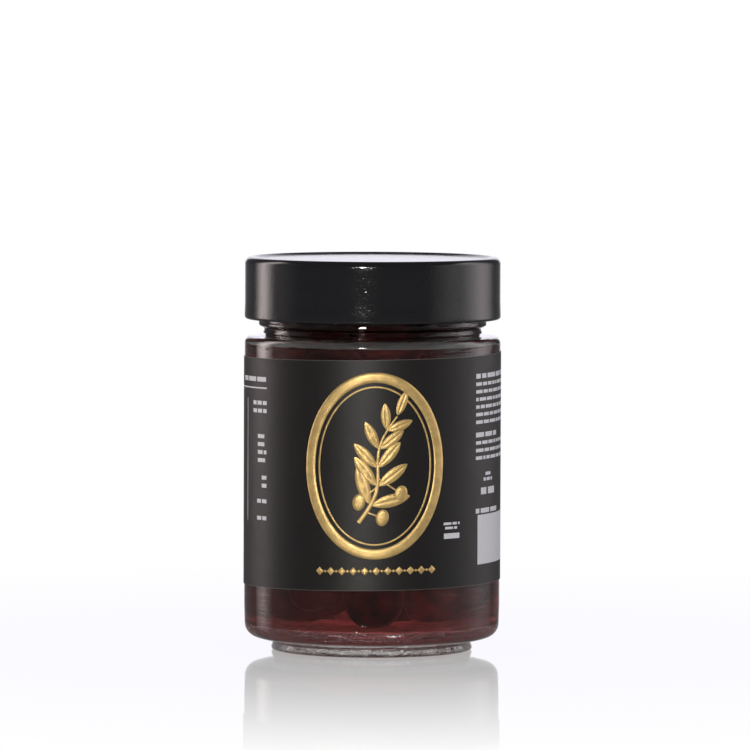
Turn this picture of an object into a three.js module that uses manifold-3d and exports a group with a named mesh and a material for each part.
// A shut glass jar of whole dark olives: clear glass, a deep black twist-off lid and a wrap-round label.
// Millimetres, +Z up, the origin under the middle of the foot, -Y towards whoever reads the label.
import * as THREE from "three";
import { mergeVertices } from "three/addons/utils/BufferGeometryUtils.js";
import Module from "manifold-3d";

const wasm = await Module();
wasm.setup();

// Driving dimensions of the glass
const GLASS_R = 35.5;
const WALL = 2.4;
const FOOT_R = 28.3;
const HEEL_R = 35.25;
const HEEL_TOP_Z = 12.5;
const SHOULDER_Z = 87.0;
const NECK_R = 30.0;
const NECK_WALL = 2.6;
const BEAD_R = 31.6;
const FINISH_R = 31.0;
const MOUTH_Z = 107.85;
const PUSH_UP = 1.8;
const FLOOR_Z = 6.6;
const FLOOR_RISE = 0.8;

// Driving dimensions of the lid
const LID_R = 35.55;
const LID_WALL = 0.6;
const LID_BOTTOM_Z = 92.0;
const LID_TOP_Z = 109.2;
const PANEL_DROP = 0.45;
const RIM_INNER_R = 33.0;
const PANEL_R = 32.0;
const CURL_R = 33.9;
const CURL_HEIGHT = 1.7;

// Driving dimensions of the label, which was put on a little askew
const LABEL_LOW_Z = 19.2;
const LABEL_HEIGHT = 63.2;
const LABEL_THICKNESS = 0.15;
const LABEL_CLEARANCE = 0.1;
const LABEL_GAP_SIDES = 4;
const LABEL_TURN = THREE.MathUtils.degToRad(1.3);
const LABEL_SLANT = Math.tan(THREE.MathUtils.degToRad(0.8));

// Driving dimensions of the olives
const OLIVE_LENGTH = 24;
const OLIVE_WIDTH = 16;
const OLIVE_COUNT = 48;
const OLIVE_SIZES = [0.92, 1.06];
const OLIVE_SIDES = 8;
const OLIVE_RINGS = 5;
const HEAP_TOP_Z = 97;
const HEAP_CLEARANCE = 0.4;
const CORE_INSET = 14;

// How the olives settle against each other: three balls stand for each one's rounded body
const BALL_PLACES = [-0.55, 0, 0.55];
const BALL_RADII = [5.4, 8, 5.4];
const SETTLE_ROUNDS = 300;
const SHIFT_RATE = 0.2;
const TURN_RATE = 0.6;
const LONGEST_SHIFT = 1;
const LONGEST_TURN = 0.1;
const DRAW_SEED = 20411;

// How finely round things are cut into flat sides
const SIDES = 48;
const ARC_STEP = THREE.MathUtils.degToRad(50);
const WIDE_ARC = 4;

const CAVITY_R = GLASS_R - WALL;
const NECK_INNER_R = NECK_R - NECK_WALL;

// Turns an outline of [radius, height, corner radius] into points, each corner rounded by an arc
// that meets both of its sides. The arc's middle lies on the line that halves the corner, and a
// wide arc is cut into more steps than a tight one.
function rounded(corners) {
  const points = [];
  corners.forEach(([r, z, fillet = 0], i) => {
    const corner = new THREE.Vector2(r, z);
    if (!fillet) {
      points.push(corner);
      return;
    }
    const back = new THREE.Vector2(corners[i - 1][0] - r, corners[i - 1][1] - z).normalize();
    const ahead = new THREE.Vector2(corners[i + 1][0] - r, corners[i + 1][1] - z).normalize();
    const between = Math.acos(THREE.MathUtils.clamp(back.dot(ahead), -1, 1));
    const inward = back.clone().add(ahead).normalize();
    const centre = inward.multiplyScalar(fillet / Math.sin(between / 2)).add(corner);
    const start = back.clone().multiplyScalar(fillet / Math.tan(between / 2)).add(corner).sub(centre);
    const turn = (Math.PI - between) * Math.sign(ahead.cross(back));
    const steps = Math.max(1, Math.round((Math.abs(turn) * (1 + fillet / WIDE_ARC)) / ARC_STEP));
    for (let step = 0; step <= steps; step++) {
      points.push(start.clone().rotateAround(new THREE.Vector2(), (turn * step) / steps).add(centre));
    }
  });
  return points;
}

// A solid turned about +Z from an outline that runs up the outside and starts and ends on the axis
function turned(corners) {
  return new THREE.LatheGeometry(rounded(corners), SIDES).rotateX(Math.PI / 2);
}

// The jar: a foot with a pinch above it, a round heel, a straight body, a flat shoulder, a neck with
// a ridge and a bead, and a plain mouth. Its cavity is open at the mouth.
function jarShape() {
  const outside = [
    [0, PUSH_UP],
    [24.4, PUSH_UP - 0.4, 0.8],
    [25.6, 0, 0.5],
    [FOOT_R, 0, 0.8],
    [FOOT_R - 1.0, 2.35, 0.4],
    [HEEL_R, 4.44, 3.9],
    [GLASS_R, HEEL_TOP_Z],
    [GLASS_R, SHOULDER_Z, 1.6],
    [NECK_R - 0.6, SHOULDER_Z + 0.35, 0.3],
    [NECK_R + 0.4, SHOULDER_Z + 1.2, 0.4],
    [NECK_R, SHOULDER_Z + 2.4, 0.4],
    [BEAD_R, SHOULDER_Z + 3.3, 0.5],
    [BEAD_R, SHOULDER_Z + 5.2, 0.5],
    [FINISH_R, SHOULDER_Z + 5.9],
    [FINISH_R, MOUTH_Z, 1.2],
  ];
  const inside = [
    [NECK_INNER_R, MOUTH_Z, 1.2],
    [NECK_INNER_R, SHOULDER_Z - 1.2, 1.2],
    [CAVITY_R, SHOULDER_Z - 1.5, 2.2],
    [CAVITY_R, FLOOR_Z, 5.0],
    [0, FLOOR_Z + FLOOR_RISE],
  ];
  return turned([...outside, ...inside]);
}

// The lid: a deep cup with a raised outer rim, a lower panel inside it and an inward curl at the hem
function lidShape() {
  const panelZ = LID_TOP_Z - PANEL_DROP;
  const innerR = LID_R - 0.1 - LID_WALL;
  const underside = [
    [0, panelZ - LID_WALL],
    [PANEL_R + 0.2, panelZ - LID_WALL],
    [RIM_INNER_R + 0.2, LID_TOP_Z - LID_WALL],
    [innerR, LID_TOP_Z - LID_WALL, 0.8],
    [innerR, LID_BOTTOM_Z + CURL_HEIGHT + 0.5, 0.4],
    [CURL_R, LID_BOTTOM_Z + CURL_HEIGHT, 0.6],
    [CURL_R, LID_BOTTOM_Z, 0.7],
  ];
  const top = [
    [LID_R, LID_BOTTOM_Z, 0.8],
    [LID_R, LID_BOTTOM_Z + CURL_HEIGHT, 0],
    [LID_R - 0.1, LID_BOTTOM_Z + CURL_HEIGHT + 0.6, 0],
    [LID_R - 0.1, LID_TOP_Z, 1.7],
    [RIM_INNER_R, LID_TOP_Z, 0.3],
    [PANEL_R, panelZ, 0.3],
    [0, panelZ],
  ];
  return turned([...underside, ...top]);
}

// The label: a flat strip, sheared by the slant and then bent round the glass, its two ends apart at the back
function labelShape() {
  const sides = SIDES - LABEL_GAP_SIDES;
  const sweep = (2 * Math.PI * sides) / SIDES;
  const innerR = GLASS_R + LABEL_CLEARANCE;
  const strip = new THREE.BoxGeometry(sweep, LABEL_THICKNESS, LABEL_HEIGHT, sides, 1, 1);
  const place = strip.getAttribute("position");
  for (let i = 0; i < place.count; i++) {
    const angle = place.getX(i);
    const radius = innerR + LABEL_THICKNESS / 2 - place.getY(i);
    const height = LABEL_LOW_Z + LABEL_HEIGHT / 2 + place.getZ(i) + GLASS_R * angle * LABEL_SLANT;
    const round = angle + LABEL_TURN;
    place.setXYZ(i, radius * Math.sin(round), -radius * Math.cos(round), height);
  }
  return strip;
}

// A steady stream of draws between 0 and 1, the same every time
function drawsFrom(seed) {
  let state = seed;
  return () => {
    state = (state * 48271) % 2147483647;
    return state / 2147483647;
  };
}

// How far from the axis the inside of the jar lets a thing reach at a height
function roomAt(z) {
  const narrowing = THREE.MathUtils.clamp((z - (SHOULDER_Z - 6)) / 4, 0, 1);
  return CAVITY_R - HEAP_CLEARANCE - narrowing * (CAVITY_R - NECK_INNER_R);
}

// Spreads the olives evenly up the jar, each pointing its own way
function scatterOlives() {
  const draw = drawsFrom(DRAW_SEED);
  const low = FLOOR_Z + FLOOR_RISE + OLIVE_WIDTH / 2;
  const high = HEAP_TOP_Z - OLIVE_WIDTH / 2;
  const widest = CAVITY_R - OLIVE_WIDTH / 2;
  return Array.from({ length: OLIVE_COUNT }, (_, i) => {
    const angle = i * Math.PI * (3 - Math.sqrt(5));
    const radius = widest * Math.sqrt((i * 0.7549) % 1);
    const z = low + ((high - low) * (i + 0.5)) / OLIVE_COUNT;
    const rise = 2 * draw() - 1;
    const heading = 2 * Math.PI * draw();
    const level = Math.sqrt(1 - rise * rise);
    const size = OLIVE_SIZES[0] + (OLIVE_SIZES[1] - OLIVE_SIZES[0]) * draw();
    return {
      middle: new THREE.Vector3(radius * Math.cos(angle), radius * Math.sin(angle), z),
      axis: new THREE.Vector3(level * Math.cos(heading), level * Math.sin(heading), rise),
      size,
      shift: new THREE.Vector3(),
      turn: new THREE.Vector3(),
    };
  });
}

// The balls that stand for the olives in one round of settling
function ballsOf(olives) {
  return olives.flatMap((olive) =>
    BALL_PLACES.map((place, k) => {
      const along = (place * OLIVE_LENGTH * olive.size) / 2;
      return {
        olive,
        along,
        radius: BALL_RADII[k] * olive.size,
        at: olive.middle.clone().addScaledVector(olive.axis, along),
      };
    }),
  );
}

// A push on a ball moves its olive, and turns it by how far along the ball sits
function push(ball, by) {
  ball.olive.shift.add(by);
  ball.olive.turn.addScaledVector(by, ball.along);
}

// Balls of two olives that overlap push each other apart by half of the overlap each
function pushApart(balls) {
  balls.forEach((a, i) => {
    balls.slice(i + 1).forEach((b) => {
      const gap = a.at.clone().sub(b.at);
      const overlap = a.radius + b.radius - gap.length();
      if (a.olive === b.olive || overlap <= 0) {
        return;
      }
      gap.setLength(overlap / 2);
      push(a, gap);
      push(b, gap.negate());
    });
  });
}

// The wall, the floor and the brine's level push a ball back inside
function pushInside(balls) {
  const floor = FLOOR_Z + FLOOR_RISE + HEAP_CLEARANCE;
  balls.forEach((ball) => {
    const outward = new THREE.Vector3(ball.at.x, ball.at.y, 0);
    const beyond = outward.length() + ball.radius - roomAt(ball.at.z);
    if (beyond > 0) {
      push(ball, outward.setLength(-beyond));
    }
    const sunk = Math.max(0, floor - (ball.at.z - ball.radius));
    const afloat = Math.max(0, ball.at.z + ball.radius - HEAP_TOP_Z);
    push(ball, new THREE.Vector3(0, 0, sunk - afloat));
  });
}

// Lets the scattered olives push each other and the jar until they lie side by side
function settledOlives() {
  const olives = scatterOlives();
  for (let round = 0; round < SETTLE_ROUNDS; round++) {
    const balls = ballsOf(olives);
    pushApart(balls);
    pushInside(balls);
    olives.forEach((olive) => {
      olive.shift.multiplyScalar(SHIFT_RATE).clampScalar(-LONGEST_SHIFT, LONGEST_SHIFT);
      olive.turn.multiplyScalar(TURN_RATE / OLIVE_LENGTH ** 2).clampScalar(-LONGEST_TURN, LONGEST_TURN);
      olive.middle.add(olive.shift);
      olive.axis.add(olive.turn).normalize();
      olive.shift.set(0, 0, 0);
      olive.turn.set(0, 0, 0);
    });
  }
  return olives;
}

// One olive along +Y: an oval that is a little fuller behind and drawn out to a blunt tip in front
function oliveShape() {
  const outline = Array.from({ length: OLIVE_RINGS + 1 }, (_, k) => {
    const s = -Math.cos((Math.PI * k) / OLIVE_RINGS);
    const radius = (OLIVE_WIDTH / 2) * Math.sqrt(Math.max(0, 1 - s * s)) * (1 - 0.08 * s);
    return new THREE.Vector2(radius, (s * OLIVE_LENGTH) / 2);
  });
  return new THREE.LatheGeometry(outline, OLIVE_SIDES);
}

// A closed shape as a solid that can be joined and cut
function solidOf(geometry) {
  geometry.deleteAttribute("normal");
  geometry.deleteAttribute("uv");
  const merged = mergeVertices(geometry, 1e-4);
  return new wasm.Manifold(
    new wasm.Mesh({
      numProp: 3,
      vertProperties: merged.getAttribute("position").array,
      triVerts: merged.getIndex().array,
    }),
  );
}

// The solid back as a shape
function shapeOf(solid) {
  const mesh = solid.getMesh();
  const geometry = new THREE.BufferGeometry();
  geometry.setAttribute("position", new THREE.BufferAttribute(mesh.vertProperties, 3));
  geometry.setIndex(new THREE.BufferAttribute(mesh.triVerts, 1));
  return geometry.toNonIndexed();
}

// A turned body that stands off the jar's inside all round by an inset
function insideJar(inset, low, high) {
  return turned([
    [0, low],
    [CAVITY_R - inset, low, 4],
    [CAVITY_R - inset, SHOULDER_Z - 5.5],
    [NECK_INNER_R - inset, SHOULDER_Z - 2.5],
    [NECK_INNER_R - inset, high, 2],
    [0, high],
  ]);
}

// The heap: every olive fused to a smaller core, and kept clear of the glass
function heapShape() {
  const floor = FLOOR_Z + FLOOR_RISE;
  let heap = solidOf(insideJar(CORE_INSET, floor + 6, HEAP_TOP_Z - 7));
  for (const { middle, axis, size } of settledOlives()) {
    const facing = new THREE.Quaternion().setFromUnitVectors(new THREE.Vector3(0, 1, 0), axis);
    const place = new THREE.Matrix4().compose(middle, facing, new THREE.Vector3(size, size, size));
    heap = heap.add(solidOf(oliveShape().applyMatrix4(place)));
  }
  const room = solidOf(insideJar(HEAP_CLEARANCE, floor + HEAP_CLEARANCE, HEAP_TOP_Z));
  return shapeOf(heap.intersect(room));
}

// A named piece with its own finish
function piece(name, geometry, finish) {
  const mesh = new THREE.Mesh(geometry, new THREE.MeshStandardMaterial(finish));
  mesh.name = name;
  return mesh;
}

const clearGlass = { color: "#dfe5e2", roughness: 0.05, metalness: 0, transparent: true, opacity: 0.35 };
const blackLacquer = { color: "#232325", roughness: 0.35, metalness: 0 };
const charcoalPaper = { color: "#2d2b2c", roughness: 0.7, metalness: 0 };
const darkOlive = { color: "#2b1517", roughness: 0.3, metalness: 0 };

const group = new THREE.Group();
group.add(piece("jar", jarShape(), clearGlass));
group.add(piece("lid", lidShape(), blackLacquer));
group.add(piece("label", labelShape(), charcoalPaper));
group.add(piece("olives", heapShape(), darkOlive));

export default group;
